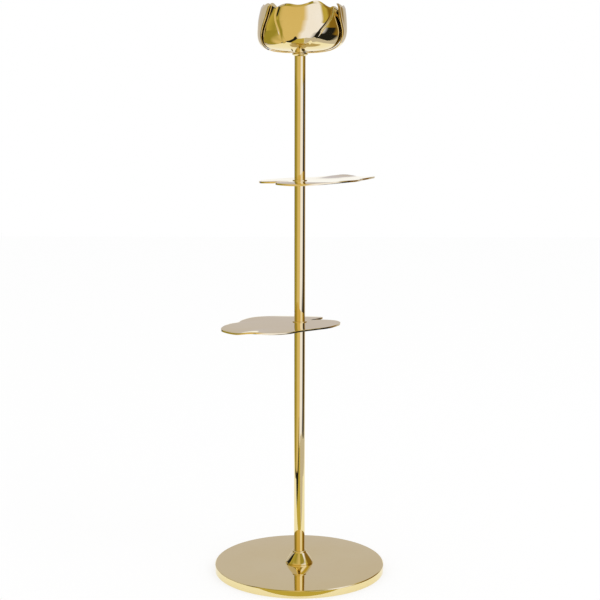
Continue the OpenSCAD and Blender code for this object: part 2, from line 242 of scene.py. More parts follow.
def build_brass_tone():
    group, entry, exit_ = new_group(
        "brass tone",
        [
            ("Vector", "NodeSocketVector", None),
            ("Clean", "NodeSocketColor", (*CLEAN_BRASS, 1)),
            ("Warm", "NodeSocketColor", (*WARM_BRASS, 1)),
            ("Patch Scale", "NodeSocketFloat", 22.0),
            ("Amount", "NodeSocketFloat", 0.4),
        ],
        [("Color", "NodeSocketColor")],
    )
    patch = add_node(group, "ShaderNodeTexNoise", {"Detail": 4.0, "Roughness": 0.6})
    wire(group, entry.outputs["Vector"], patch.inputs["Vector"])
    wire(group, entry.outputs["Patch Scale"], patch.inputs["Scale"])
    spread = add_node(group, "ShaderNodeMapRange", {"From Min": PATCH_FROM, "From Max": PATCH_TO})
    wire(group, patch.outputs[0], spread.inputs["Value"])
    share = math_node(group, "MULTIPLY", spread.outputs[0], entry.outputs["Amount"], clamp=True)
    tone = mix_colours(group, share, entry.outputs["Clean"], entry.outputs["Warm"])
    wire(group, tone, exit_.inputs["Color"])
    return group


brass_tone = build_brass_tone()
print("group:", brass_tone.name)

# %% [markdown]
# ## The brasses
#
# One alloy, three ways of working it. Tube is drawn, so its hairlines run lengthwise. Turned pieces
# carry lines that run round. Sheet has been rolled, pressed and mopped by hand, so it is the waviest.
# Each finish is its own material with its own values in the two groups. The metal itself is one
# Principled shader at full metallic, because its Fresnel law gives the pale edges for nothing.


# %% Make the brasses
POLISH_ROUGHNESS = 0.025
HAIRLINES = 0.05


def make_brass(name, haze, stretch, wave_scale, wave_height, tone_amount):
    """stretch: the hairlines' frequency along x, y and z. wave_height: in metres."""
    material, tree = new_material(name)
    shader = tree.nodes["Principled BSDF"]
    shader.inputs["Metallic"].default_value = 1.0
    place = add_node(tree, "ShaderNodeTexCoord")
    tone = add_node(tree, "ShaderNodeGroup", node_tree=brass_tone)
    tone.inputs["Amount"].default_value = tone_amount
    wire(tree, place.outputs["Object"], tone.inputs["Vector"])
    wire(tree, tone.outputs["Color"], shader.inputs["Base Color"])
    polish = add_node(tree, "ShaderNodeGroup", node_tree=hand_polish)
    polish.inputs["Roughness"].default_value = POLISH_ROUGHNESS
    polish.inputs["Haze"].default_value = haze
    polish.inputs["Hairlines"].default_value = HAIRLINES
    polish.inputs["Hairline Stretch"].default_value = stretch
    polish.inputs["Wave Scale"].default_value = wave_scale
    wire(tree, place.outputs["Object"], polish.inputs["Vector"])
    wire(tree, polish.outputs["Roughness"], shader.inputs["Roughness"])
    bump = add_node(tree, "ShaderNodeBump", {"Strength": 1.0, "Distance": wave_height})
    wire(tree, polish.outputs["Height"], bump.inputs["Height"])
    wire(tree, bump.outputs["Normal"], shader.inputs["Normal"])
    return material


brass_tube = make_brass(
    "brass tube", haze=0.03, stretch=(900, 900, 12), wave_scale=45, wave_height=0.000004, tone_amount=0.3
)
brass_turned = make_brass(
    "brass turned", haze=0.03, stretch=(60, 60, 3000), wave_scale=30, wave_height=0.000004, tone_amount=0.3
)
brass_sheet = make_brass(
    "brass sheet", haze=0.035, stretch=(500, 160, 300), wave_scale=26, wave_height=0.00003, tone_amount=0.4
)
print("brasses:", brass_tube.name, brass_turned.name, brass_sheet.name)

# %% [markdown]
# ## Steel and felt
#
# The rod, nut, washer and screw are zinc-plated steel: greyer, rougher, with a fine crystal grain that
# a Voronoi texture gives. The felt under the disc is pressed wool: no gloss at all, a soft sheen, and
# a fibre noise that lifts its surface.


# %% Make the steel and the felt
STEEL_DARK, STEEL_PALE = (0.56, 0.57, 0.58), (0.68, 0.69, 0.7)
STEEL_ROUGHNESS, STEEL_ROUGHNESS_SPREAD = 0.24, 0.18
GRAIN_SCALE, FIBRE_SCALE = 900.0, 1400.0
FELT_DARK, FELT_PALE = (0.012, 0.012, 0.013), (0.05, 0.05, 0.052)


def make_steel():
    material, tree = new_material("plated steel")
    shader = tree.nodes["Principled BSDF"]
    shader.inputs["Metallic"].default_value = 1.0
    place = add_node(tree, "ShaderNodeTexCoord")
    grain = add_node(tree, "ShaderNodeTexVoronoi", {"Scale": GRAIN_SCALE})
    wire(tree, place.outputs["Object"], grain.inputs["Vector"])
    tint = add_node(tree, "ShaderNodeValToRGB")
    fill_ramp(tint.color_ramp, [(0.0, STEEL_DARK), (1.0, STEEL_PALE)])
    wire(tree, grain.outputs["Distance"], tint.inputs["Fac"])
    wire(tree, tint.outputs["Color"], shader.inputs["Base Color"])
    grainy = (grain.outputs["Distance"], STEEL_ROUGHNESS_SPREAD, STEEL_ROUGHNESS)
    wire(tree, math_node(tree, "MULTIPLY_ADD", *grainy), shader.inputs["Roughness"])
    return material


def make_felt():
    material, tree = new_material("felt")
    shader = tree.nodes["Principled BSDF"]
    shader.inputs["Roughness"].default_value = 1.0
    shader.inputs["Specular IOR Level"].default_value = 0.1
    shader.inputs["Sheen Weight"].default_value = 0.4
    shader.inputs["Sheen Roughness"].default_value = 0.6
    place = add_node(tree, "ShaderNodeTexCoord")
    fibre = add_node(tree, "ShaderNodeTexNoise", {"Scale": FIBRE_SCALE, "Detail": 6.0, "Roughness": 0.75})
    wire(tree, place.outputs["Object"], fibre.inputs["Vector"])
    tint = add_node(tree, "ShaderNodeValToRGB")
    fill_ramp(tint.color_ramp, [(0.35, FELT_DARK), (0.75, FELT_PALE)])
    wire(tree, fibre.outputs[0], tint.inputs["Fac"])
    wire(tree, tint.outputs["Color"], shader.inputs["Base Color"])
    bump = add_node(tree, "ShaderNodeBump", {"Strength": 0.6, "Distance": 0.2 * MM})
    wire(tree, fibre.outputs[0], bump.inputs["Height"])
    wire(tree, bump.outputs["Normal"], shader.inputs["Normal"])
    return material


plated_steel = make_steel()
felt = make_felt()


def give(node, material):
    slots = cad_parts[node].data.materials
    slots.clear()
    slots.append(material)


for node in ("tie_rod", "rod_nut", "rod_washer", "socket_screw"):
    give(node, plated_steel)
give("base_felt", felt)
for node in ("tube_bushes", "petal_clamp"):
    give(node, brass_turned)
print("steel and felt given")

# %% [markdown]
# ## Turned pieces
#
# Discs, tubes, washers, the ferrule, the hub and the socket are all made on a lathe, and a lathe works
# from a profile. The frame's own meshes are true but coarse: a mirror finish would show each flat as a
# stripe. So the same profiles are spun again in 256 steps, with every sharp corner broken by a small
# radius, because a bright line on a broken edge is what makes metal look like metal.


# %% Spin a profile
SPIN_STEPS = 256
CORNER_STEPS = 4
CORNER_SHARE = 0.45
NEARLY_STRAIGHT = math.radians(165)
# how far each kind of corner is broken
TURNED_EDGE, WASHER_EDGE, SOFT_EDGE = 0.15 * MM, 0.1 * MM, 0.3 * MM


def broken_corners(profile, radius):
    """A closed profile of (r, z) points with each corner rounded by about this radius"""
    rounded = []
    count = len(profile)
    for i, corner in enumerate(profile):
        before, here, after = (Vector(profile[(i + k) % count]) for k in (-1, 0, 1))
        to_before, to_after = before - here, after - here
        cut = min(radius, CORNER_SHARE * to_before.length, CORNER_SHARE * to_after.length)
        start, end = here + to_before.normalized() * cut, here + to_after.normalized() * cut
        if to_before.angle(to_after) > NEARLY_STRAIGHT:
            rounded.append(tuple(here))
            continue
        for k in range(CORNER_STEPS + 1):
            t = k / CORNER_STEPS
            point = start * (1 - t) ** 2 + here * 2 * t * (1 - t) + end * t**2
            rounded.append(tuple(point))
    return rounded


def finish_piece(name, mesh, material, replaced, sharp_degrees=40):
    mesh.materials.append(material)
    mesh.shade_smooth()
    mesh.set_sharp_from_angle(angle=math.radians(sharp_degrees))
    piece = bpy.data.objects.new(name, mesh)
    bpy.context.scene.collection.objects.link(piece)
    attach(piece, "root")
    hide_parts(*replaced)
    return piece


def spin(name, profile, replaced, material=brass_turned, edge=TURNED_EDGE):
    points = broken_corners(profile, edge)
    rows = len(points)
    verts = [
        (r * math.cos(a), r * math.sin(a), z)
        for k in range(SPIN_STEPS)
        for a in [2 * math.pi * k / SPIN_STEPS]
        for r, z in points
    ]
    faces = [
        (
            k * rows + i,
            (k + 1) % SPIN_STEPS * rows + i,
            (k + 1) % SPIN_STEPS * rows + (i + 1) % rows,
            k * rows + (i + 1) % rows,
        )
        for k in range(SPIN_STEPS)
        for i in range(rows)
    ]
    mesh = bpy.data.meshes.new(name)
    mesh.from_pydata(verts, [], faces)
    shape = bmesh.new()
    shape.from_mesh(mesh)
    bmesh.ops.recalc_face_normals(shape, faces=shape.faces)
    shape.to_mesh(mesh)
    shape.free()
    return finish_piece(name, mesh, material, replaced)


print("lathe ready:", SPIN_STEPS, "steps round")

# %% [markdown]
# ## The base disc
#
# A heavy disc of 150 mm with a narrow chamfer round its top edge and a recess for the felt below. Seen
# from the side the rim is a thin gold line, and the chamfer is the dark line along it.

# %% Turn the base disc
base_low = low_z("base_disc")
chamfer = 0.7 * MM
felt_top = top_z("base_felt")
felt_recess_r = base_r - 3.5 * MM
pocket_r = 8 * MM
pocket_top = base_top - 2.2 * MM
rod_hole_r = 2.6 * MM
spin(
    "turned_base",
    [
        (rod_hole_r, pocket_top),
        (pocket_r, pocket_top),
        (pocket_r, felt_top),
        (felt_recess_r, felt_top),
        (felt_recess_r, base_low),
        (base_r, base_low),
        (base_r, base_top - chamfer),
        (base_r - chamfer, base_top),
        (rod_hole_r, base_top),
    ],
    ["base_disc"],
)
print("base disc turned")

# %% [markdown]
# ## The ferrule
#
# The stem's foot is a turned bell: a low upright band, then an almost straight cone up to a short neck.
# Only its upper half exists. The lower half that the eye sees is the bell's own image in the disc.

# %% Turn the ferrule
band_h, dome_h, neck_h = 1.0 * MM, 9.2 * MM, 1.6 * MM
foot_r = 12.2 * MM
neck_r = 6.25 * MM
neck_chamfer = 0.4 * MM
DOME_BULGE = 1.9  # 1 would make the side a quarter of an ellipse and 2 a straight cone
ferrule_bore = 4.85 * MM
DOME_STEPS = 36
dome = [
    (
        neck_r + (foot_r - neck_r) * math.cos(a) ** DOME_BULGE,
        base_top + band_h + (dome_h - band_h) * math.sin(a) ** DOME_BULGE,
    )
    for k in range(DOME_STEPS + 1)
    for a in [min(math.pi / 2 * k / DOME_STEPS, math.pi / 2 - 1e-6)]
]
neck_top = base_top + dome_h + neck_h
spin(
    "ferrule",
    [(ferrule_bore, base_top), (foot_r, base_top)]
    + dome
    + [(neck_r, neck_top - neck_chamfer), (neck_r - neck_chamfer, neck_top), (ferrule_bore, neck_top)],
    ["foot_ferrule"],
)
print("ferrule turned,", len(dome), "points on its dome")

# %% [markdown]
# ## Tubes and washers
#
# The stem is three lengths of tube with a leaf clamped at each joint. Each leaf has a thin washer on it:
# the dark line where the stem meets a leaf is the washer's edge and its shadow in the mirror.

# %% Draw the tubes and cut the washers
tube_bore = stem_r - 1 * MM
washer_r = 6.3 * MM


def ring_profile(inner, outer, low, high):
    return [(inner, low), (outer, low), (outer, high), (inner, high)]


for name in ("lower_tube", "middle_tube", "upper_tube"):
    spin(
        "stem_" + name,
        ring_profile(tube_bore, stem_r, low_z(name), top_z(name)),
        [name],
        material=brass_tube,
    )
for name in ("lower_leaf_washer", "upper_leaf_washer"):
    spin(
        "turned_" + name,
        ring_profile(rod_hole_r, washer_r, low_z(name), top_z(name)),
        [name],
        edge=WASHER_EDGE,
    )
print("three tubes and two washers")

# %% [markdown]
# ## The hub and the candle socket
#
# The hub is a bead on the top of the tube with a spigot on which the petals centre. The socket above
# them holds the candle. It hides behind the front petal, but anyone who looks in from above sees it, so
# it gets a rolled lip and a clean floor.

# %% Turn the hub and the socket
bead_r = 6.75 * MM
bead_h = 2.4 * MM
bead_top = stem_top + bead_h
bead_chamfer = 0.15 * bead_h
bead_widest = stem_top + 0.6 * bead_h
spigot_r = 3.8 * MM
plug_r = tube_bore - 0.05 * MM
hub_low, hub_top = low_z("flower_hub"), top_z("flower_hub")
hub_core = 2.55 * MM
spin(
    "turned_hub",
    [
        (hub_core, hub_low),
        (plug_r, hub_low),
        (plug_r, stem_top),
        (stem_r, stem_top),
        (bead_r, bead_widest),
        (bead_r, bead_top - bead_chamfer),
        (bead_r - bead_chamfer, bead_top),
        (spigot_r, bead_top),
        (spigot_r, hub_top),
        (hub_core, hub_top),
    ],
    ["flower_hub"],
    edge=SOFT_EDGE,
)
socket_low, socket_top = low_z("candle_socket"), top_z("candle_socket")
socket_floor = socket_low + 3 * MM
socket_bore, socket_out = 11.3 * MM, 12.5 * MM
socket_chamfer = 0.8 * MM
lip_w, lip_h = 1 * MM, 1 * MM
screw_hole, screw_seat = 2.1 * MM, 4.1 * MM
screw_head_low = socket_floor - 2.1 * MM
spin(
    "turned_socket",
    [
        (screw_hole, socket_low),
        (socket_out - socket_chamfer, socket_low),
        (socket_out, socket_low + socket_chamfer),
        (socket_out, socket_top - 2 * lip_h),
        (socket_out + lip_w, socket_top - lip_h),
        (socket_out + lip_w, socket_top),
        (socket_bore, socket_top),
        (socket_bore, socket_floor),
        (screw_seat, socket_floor),
        (screw_seat, screw_head_low),
        (screw_hole, screw_head_low),
    ],
    ["candle_socket"],
    edge=SOFT_EDGE,
)
print("socket rim at", round(socket_top, 4))

# %% [markdown]
# ## Sheets
#
# Leaves and petals are thin sheet. A sheet could be a plane with a Solidify modifier, but then the rim's
# cut edge is at the mercy of the modifier. Here both skins are computed point by point, sewn together
# round the rim, and the cut edges are broken with a fine bevel, as a file would.


# %% Sew two skins into one sheet
CUT_EDGE = math.radians(55)
SHEET_SHARP_DEGREES = 75


def sew_sheet(name, front, back, looped, material, replaced, edge):
    rows, cols = len(front), len(front[0])
    count = rows * cols
    steps = cols if looped else cols - 1
    verts = [p for row in front for p in row] + [p for row in back for p in row]

    def at(skin, i, j):
        return skin * count + i * cols + j % cols

    faces = []
    for i in range(rows - 1):
        for j in range(steps):
            quad = [(i, j), (i + 1, j), (i + 1, j + 1), (i, j + 1)]
            faces.append([at(0, *c) for c in quad])
            faces.append([at(1, *c) for c in reversed(quad)])
    for i in (0, rows - 1):
        for j in range(steps):
            faces.append([at(0, i, j), at(0, i, j + 1), at(1, i, j + 1), at(1, i, j)])
    if not looped:
        for j in (0, cols - 1):
            for i in range(rows - 1):
                faces.append([at(0, i, j), at(0, i + 1, j), at(1, i + 1, j), at(1, i, j)])
    mesh = bpy.data.meshes.new(name)
    mesh.from_pydata(verts, [], faces)
    shape = bmesh.new()
    shape.from_mesh(mesh)
    bmesh.ops.recalc_face_normals(shape, faces=shape.faces)
    cut = [
        e
        for e in shape.edges
        if len(e.link_faces) == 2 and e.calc_face_angle(0) > CUT_EDGE
    ]
    bmesh.ops.bevel(
        shape, geom=cut, offset=edge, segments=2, profile=0.5, affect="EDGES", clamp_overlap=True
    )
    shape.to_mesh(mesh)
    shape.free()
    return finish_piece(name, mesh, material, replaced, SHEET_SHARP_DEGREES)


print("sheets ready, edges sharper than", round(math.degrees(CUT_EDGE)), "degrees get a bevel")


# %% [markdown]
# ## The leaves
#
# Both leaves come from one lily-pad pattern, a broad pad with a notch, longer on one side of the stem.
# The upper one is turned half round and bent up a little to the right. The rim is a closed curve
# through a few chosen points, each given as an angle, a share of the reach and a lift in millimetres.
# The lift fades quickly towards the stem, so the pad lies flat and only its rim is waved.

# %% Cut and wave the leaves
LEAF_REACH = 78 * MM
LEAF_T = 1.5 * MM
LEAF_RIM = [
    (-10, 0.46, 0), (8, 0.43, 0), (19, 0.37, 0), (28, 0.3, 0),
    (43, 0.17, 0), (46.5, 0.28, 0), (49, 0.4, 0), (60, 0.45, -0.4),
    (80, 0.475, -1), (102, 0.495, -1), (126, 0.53, -0.3), (149, 0.6, 0.2),
    (168, 0.65, 0), (184, 0.69, 0), (193, 0.79, 0.3), (203, 0.91, 0.2),
    (213, 1, -0.4), (226, 0.99, -0.9), (237, 0.95, 0.9), (248, 0.85, 0),
    (259, 0.73, -0.4), (272, 0.6, 0.1), (289, 0.52, 0.2), (309, 0.49, 0.2), (330, 0.47, 0.2),
]  # fmt: skip
RIM_STEPS = 12
LEAF_RINGS = 26
FLAT_SHARE = 0.2
WAVE_FADE = 5
BEND_START = 12.6 * MM
UPPER_LEAF_SLOPE = 0.034
LEAF_EDGE = 0.35 * MM


def through(a, b, c, d, t):
    """Catmull-Rom: the point at t between b and c, heeding a and d"""
    square, cube = 2 * a - 5 * b + 4 * c - d, 3 * b - a - 3 * c + d
    return 0.5 * (2 * b + (c - a) * t + square * t**2 + cube * t**3)


def leaf_edge():
    points = [
        Vector((reach * math.cos(a), reach * math.sin(a), lift * MM))
        for degrees, share, lift in LEAF_RIM
        for a, reach in [(math.radians(degrees), LEAF_REACH * share)]
    ]
    n = len(points)
    return [
        through(points[i - 1], points[i], points[(i + 1) % n], points[(i + 2) % n], k / RIM_STEPS)
        for i in range(n)
        for k in range(RIM_STEPS)
    ]


def cut_leaf(name, node, leaf_low, turn_degrees, slope):
    turn = math.radians(turn_degrees)
    edge = leaf_edge()

    def skin(height):
        rows = []
        for k in range(LEAF_RINGS + 1):
            share = k / LEAF_RINGS
            row = []
            for p in edge:
                hole = Vector((p.x, p.y, 0)).normalized() * rod_hole_r
                x, y = hole.x + (p.x - hole.x) * share, hole.y + (p.y - hole.y) * share
                free = max(0, (share - FLAT_SHARE) / (1 - FLAT_SHARE))
                right = x * math.cos(turn) - y * math.sin(turn)
                back = x * math.sin(turn) + y * math.cos(turn)
                run = math.hypot(x, y)
                bent = slope * free * max(0, run - BEND_START) * right / run
                row.append((right, back, leaf_low + height + p.z * free**WAVE_FADE + bent))
            rows.append(row)
        return rows

    return sew_sheet(name, skin(0), skin(LEAF_T), True, brass_sheet, [node], LEAF_EDGE)


lower_leaf_low = low_z("lower_leaf_washer") - LEAF_T
upper_leaf_low = low_z("upper_leaf_washer") - LEAF_T
cut_leaf("leaf_pad_lower", "lower_leaf", lower_leaf_low, 0, 0)
cut_leaf("leaf_pad_upper", "upper_leaf", upper_leaf_low, 180, UPPER_LEAF_SLOPE)
print("leaves at", round(lower_leaf_low, 4), "and", round(upper_leaf_low, 4))

# %% [markdown]
# ## The petals
#
# Each petal starts as a narrow claw under the clamp, runs out flat, turns up round the belly and leans
# in to a top edge with two lobes. One formula draws them all. Walking along q goes from the claw (0)
# over the belly (1) to the rim (2), and u runs from the left edge (-1) to the right (1). The profile is
# two Bezier curves that meet upright at the belly. Hand bending shows as a lean and as edges that roll
# inwards. Modelling them one by one with a cage would take longer and would not repeat.

# %% The petal's formula
# sizes in millimetres
FLOWER_H, BELLY_R, BELLY_H, RIM_R = 43.5, 38.0, 20.5, 33.8
PETAL_T, SHEET_GAP = 0.8, 0.3
CLAW_HALF_W, RIM_DIP, FLOWER_SHIFT = 4.0, 4.6, 1.9
EDGE_ROLL, EDGE_ROLL_W, ROLL_KNEE = 2.0, 4.6, 0.1
TOP_ROLL, TOP_ROLL_W = 0.9, 2.4
# the stretches of q in which the lean, the rolled sides, the hand bending and the flare set in
LEAN_IN, ROLL_IN, BEND_IN, FLARE_IN = (0.7, 2), (0.5, 0.95), (0.4, 1.1), (0.6, 1.3)
# the last part of a rolled side turns back as a lip: where it starts, how far, how fast
LIP_FROM, LIP_BACK, LIP_CURVE = 0.66, 0.7, 1.5
# half width, how fast the petal widens, the claw's end, room at the rim as half an angle in radians
OUTER = (27.5, 2.5, 0.43, 0.76)
INNER = (22.0, 4.5, 0.15, 0.65)
LOW_ROOM = 0.65
# the profile: the claw's inner end, and how far each curve's handles reach
CLAW_END_R = 4.1
CLAW_REACH, LAYER_REACH, UNDER_RISE = 0.684, 0.03, 0.15
WALL_UP, RIM_PULL, RIM_DOWN = 0.38, 0.4, 0.36
stem_top_mm = stem_top / MM
flange_mm = bead_top / MM


def bezier(p, t):
    a, b, c, d = p
    return a * (1 - t) ** 3 + b * 3 * (1 - t) ** 2 * t + c * 3 * (1 - t) * t**2 + d * t**3


def bezier_slope(p, t):
    a, b, c, d = p
    return (b - a) * (1 - t) ** 2 + (c - b) * 2 * (1 - t) * t + (d - c) * t**2


def petal_profile(layer, tuck, stand_out):
    root = Vector((CLAW_END_R, flange_mm + layer * (PETAL_T + SHEET_GAP)))
    belly = Vector((BELLY_R - tuck, stem_top_mm + BELLY_H))
    rim = Vector((RIM_R - tuck + stand_out, stem_top_mm + FLOWER_H))
    rise = rim.y - belly.y
    under = (
        root,
        Vector(((CLAW_REACH + LAYER_REACH * layer) * belly.x, root.y)),
        Vector((belly.x, root.y + UNDER_RISE * BELLY_H)),
        belly,
    )
    wall = (
        belly,
        belly + Vector((0, WALL_UP * rise)),
        Vector(((1 - RIM_PULL) * belly.x + RIM_PULL * rim.x, rim.y - RIM_DOWN * rise)),
        rim,
    )
    return under, wall


def along(x, stretch):
    """How far x has come along a stretch, from 0 at its start to 1 at its end"""
    return min(1.0, max(0.0, (x - stretch[0]) / (stretch[1] - stretch[0])))


def half_width(kind, q, r):
    widest, widening, claw_end, rim_room = kind
    room = LOW_ROOM + (rim_room - LOW_ROOM) * along(q, (1, 2))
    spread = 1 - (1 - along(q, (claw_end, 2))) ** widening
    return min(room * r, CLAW_HALF_W + (widest - CLAW_HALF_W) * spread)


def roll_depth(x):
    """How deep a rolled edge lies: 0 at x = 0 and 1 at x = 1, straight but for a soft knee"""
    return (math.hypot(x, ROLL_KNEE) - ROLL_KNEE) / (math.hypot(1, ROLL_KNEE) - ROLL_KNEE)


print("flower:", FLOWER_H, "mm high, belly radius", BELLY_R, "mm")

# %% [markdown]
# Eight petals from one formula would look stamped. What makes them a flower is how each is set: its
# direction, a lean to one side, a rim that stands out, and a top edge of its own.

# %% How each petal is set
def petal_setting(direction, layer, lean, edge, stand_out=0, tuck=2.5, flare=0, fold=1, trim=(1, 1)):
    """direction and lean (low, at the rim) in degrees, stand_out, tuck and flare in millimetres

    edge: share of the dip, its place, lift, tilt, fall of the left and of the right corner.
    tuck: how far an inner petal sits inside the outer ones. flare: how far the left edge stands out.
    fold: share of the margins' fold, where a minus turns them outwards. trim: share of each half width.
    """
    return {
        "direction": direction,
        "layer": layer,
        "lean": lean,
        "edge": edge,
        "stand_out": stand_out,
        "tuck": tuck * layer,
        "flare": flare,
        "fold": fold,
        "trim": trim,
    }


PETALS = {
    "petal_front": petal_setting(-90, 0, (-5, 10), (0.62, -0.27, -0.3, 0.8, 3.2, 2.1), flare=3),
    "petal_right": petal_setting(
        0, 0, (-1, 4), (0.4, -0.45, -0.8, 0, 0, 1.5), stand_out=2, fold=-0.3, trim=(0.9, 1)
    ),
    "petal_rear": petal_setting(90, 0, (0, 0), (0.8, 0, -0.5, -0.6, 1.6, 1.6)),
    "petal_left": petal_setting(180.5, 0, (0, 0), (0.5, 0.3, 0, 0, 1.6, 0.8), fold=-0.3, trim=(1, 0.87)),
    "inner_petal_front_right": petal_setting(
        -53, 1, (0, 0), (0.7, 0, -2.5, 0, 1, 1.6), tuck=2.4, fold=0.3
    ),
    "inner_petal_rear_right": petal_setting(45, 1, (0, 0), (0.7, 0, 0, 0.5, 1.6, 1.6), fold=0.3),
    "inner_petal_rear_left": petal_setting(135, 1, (0, 0), (0.7, 0, 0.5, 0, 1.6, 1.6), fold=0.3),
    "inner_petal_front_left": petal_setting(
        -137, 1, (0, 0), (1, 0.34, -0.2, 0, 1.6, 4.5), tuck=1.5, fold=0.3
    ),
}
print("petals set:", ", ".join(PETALS))

# %% [markdown]
# A point of the sheet starts on the profile. It moves out with the flare and in with the sheet's depth
# and the rolled edges, and is then swung round the stem by its petal's direction, lean and width. The
# rim drops at the dip between its lobes and at its two corners.


# %% Find one point of a petal
def rim_drop(edge, u):
    share, dip_place, lift, tilt, left_fall, right_fall = edge
    from_dip = math.pi * (u - dip_place)
    waves = share * RIM_DIP / 2 * (1 + math.cos(2 * from_dip))
    corner = (left_fall if u < 0 else right_fall) * abs(u) ** 3
    return waves - lift - tilt * math.sin(from_dip) + corner


def petal_point(petal, q, top, u, depth):
    layer = petal["layer"]
    under, wall = petal_profile(layer, petal["tuck"], petal["stand_out"])
    curve, t = (under, q) if q < 1 else (wall, q - 1)
    at, slope = bezier(curve, t), bezier_slope(curve, t)
    out = Vector((slope.y, -slope.x)).normalized()
    half_w = half_width(OUTER if layer == 0 else INNER, q, at.x)
    wall_len = (wall[3] - wall[0]).length
    side = along(q, ROLL_IN) * max(0.0, 1 - half_w * (1 - abs(u)) / EDGE_ROLL_W)
    upper = max(0.0, 1 - (top - q) * wall_len / TOP_ROLL_W)
    stand = petal["flare"] * (1 - u) / 2 * along(q, FLARE_IN)
    lip = LIP_BACK * along(side, (LIP_FROM, 1)) ** LIP_CURVE
    side_roll = petal["fold"] * EDGE_ROLL * (roll_depth(side) - lip)
    top_roll = TOP_ROLL * roll_depth(upper)
    inward = max(side_roll, top_roll) if side_roll > 0 else side_roll + top_roll
    place = at + out * (stand - depth - inward)
    low_lean, rim_lean = petal["lean"]
    lean = low_lean + (rim_lean - low_lean) * along(q, LEAN_IN)
    trim = 1 + (petal["trim"][0 if u < 0 else 1] - 1) * along(q, BEND_IN)
    angle = math.radians(petal["direction"] + lean) + u * trim * half_w / at.x
    bent = along(q, BEND_IN)
    # from the belly up, the whole flower sits a little to the right of the stem
    shift = FLOWER_SHIFT * bent**2 * (3 - 2 * bent)
    x, y = place.x * math.cos(angle) + shift, place.x * math.sin(angle)
    return (x * MM, y * MM, place.y * MM)


belly_point = petal_point(PETALS["petal_front"], q=1, top=2, u=0, depth=0)
print("the front petal's belly is at", [round(v, 4) for v in belly_point])

# %% [markdown]
# Rows and columns are spaced by a sine, so they crowd towards the rim and the sides, where the edge
# rolls. A bent edge with too few points would look creased in a mirror finish.

# %% Press the petals
PETAL_ROWS, PETAL_COLS = 72, 30
PETAL_EDGE = 0.18 * MM


def press_petal(node, petal):
    wall = petal_profile(petal["layer"], petal["tuck"], petal["stand_out"])[1]
    wall_len = (wall[3] - wall[0]).length
    skins = []
    for depth in (0, PETAL_T):
        rows = []
        for i in range(PETAL_ROWS + 1):
            row = []
            for j in range(-PETAL_COLS, PETAL_COLS + 1):
                u = math.sin(math.pi / 2 * j / PETAL_COLS)
                top = 2 - rim_drop(petal["edge"], u) / wall_len
                q = top * math.sin(math.pi / 2 * i / PETAL_ROWS)
                row.append(petal_point(petal, q, top, u, depth))
            rows.append(row)
        skins.append(rows)
    return sew_sheet(node + "_sheet", *skins, False, brass_sheet, [node], PETAL_EDGE)


for node, petal in PETALS.items():
    press_petal(node, petal)
print("petals pressed:", len(PETALS))

# %% [markdown]
# ## What the metal sees
#
# A photographer lights polished metal by building a room round it: a white sweep behind, a soft box on
# one side, and cards and walls of a few plain colours, which give a mirror something to show. The sweep
# fills the picture and is white to the camera and to the metal alike. The cards and walls stand outside
# the picture. Like lamps, they are seen by the metal alone: Light Path shows the room to glossy and
# transmission rays, plain white to the camera from every side, and an even light to all other rays. The
# room could be built from planes, but painting it on the world by direction keeps it in one place. Each
# ring is a colour ramp round the compass, where 0 is towards the camera and 90 is to the right.

# %% Name the cards and walls
WHITE_SWEEP = (1.0, 1.0, 1.0)
SOFT_BOX = (1.0, 1.05, 1.6)
GREY_WALL = (0.6, 0.57, 0.62)
TAN_WALL = (0.75, 0.6, 0.3)
OLIVE_WALL = (0.35, 0.3, 0.05)
BROWN_WALL = (0.25, 0.15, 0.02)
# the gold tone also paints the glow of gold light that the disc throws on the table in front of the foot
GOLD_CARD_AND_BOUNCE_GLOW = (0.55, 0.45, 0.1)
# the black tone also paints the floor's shadow past the table's left edge
BLACK_CARD_AND_FLOOR_SHADE = (0.015, 0.015, 0.015)

BACK_LEFT = [
    (-180, WHITE_SWEEP),
    (-166, WHITE_SWEEP),
    (-158, GREY_WALL),
    (-142, GREY_WALL),
    (-137, BLACK_CARD_AND_FLOOR_SHADE),
    (-122, BLACK_CARD_AND_FLOOR_SHADE),
]
BACK_RIGHT = [(134, GREY_WALL), (158, GREY_WALL), (166, WHITE_SWEEP), (180, WHITE_SWEEP)]
# above the picture's top edge the sweep ends at a grey wall
WALL_LEFT = [(-180, GREY_WALL), (-142, GREY_WALL), (-137, BLACK_CARD_AND_FLOOR_SHADE), (-122, BLACK_CARD_AND_FLOOR_SHADE)]
WALL_RIGHT = [(134, GREY_WALL), (180, GREY_WALL)]
LOW_RING = [
    (-116, OLIVE_WALL),
    (-80, OLIVE_WALL),
    (-56, TAN_WALL),
    (-2, TAN_WALL),
    (12, SOFT_BOX),
    (36, SOFT_BOX),
    (54, BLACK_CARD_AND_FLOOR_SHADE),
    (116, BLACK_CARD_AND_FLOOR_SHADE),
]
MIDDLE_RING = [
    (-116, OLIVE_WALL),
    (-80, OLIVE_WALL),
    (-44, TAN_WALL),
    (-2, TAN_WALL),
    (12, SOFT_BOX),
    (52, SOFT_BOX),
    (68, BLACK_CARD_AND_FLOOR_SHADE),
    (92, BLACK_CARD_AND_FLOOR_SHADE),
    (104, BROWN_WALL),
    (120, BROWN_WALL),
]
UPPER_RING = [
    (-116, GOLD_CARD_AND_BOUNCE_GLOW),
    (-88, OLIVE_WALL),
    (-56, TAN_WALL),
    (-2, TAN_WALL),
    (12, SOFT_BOX),
    (46, SOFT_BOX),
    (53, GOLD_CARD_AND_BOUNCE_GLOW),
    (64, GOLD_CARD_AND_BOUNCE_GLOW),
    (72, BROWN_WALL),
    (120, BROWN_WALL),
]
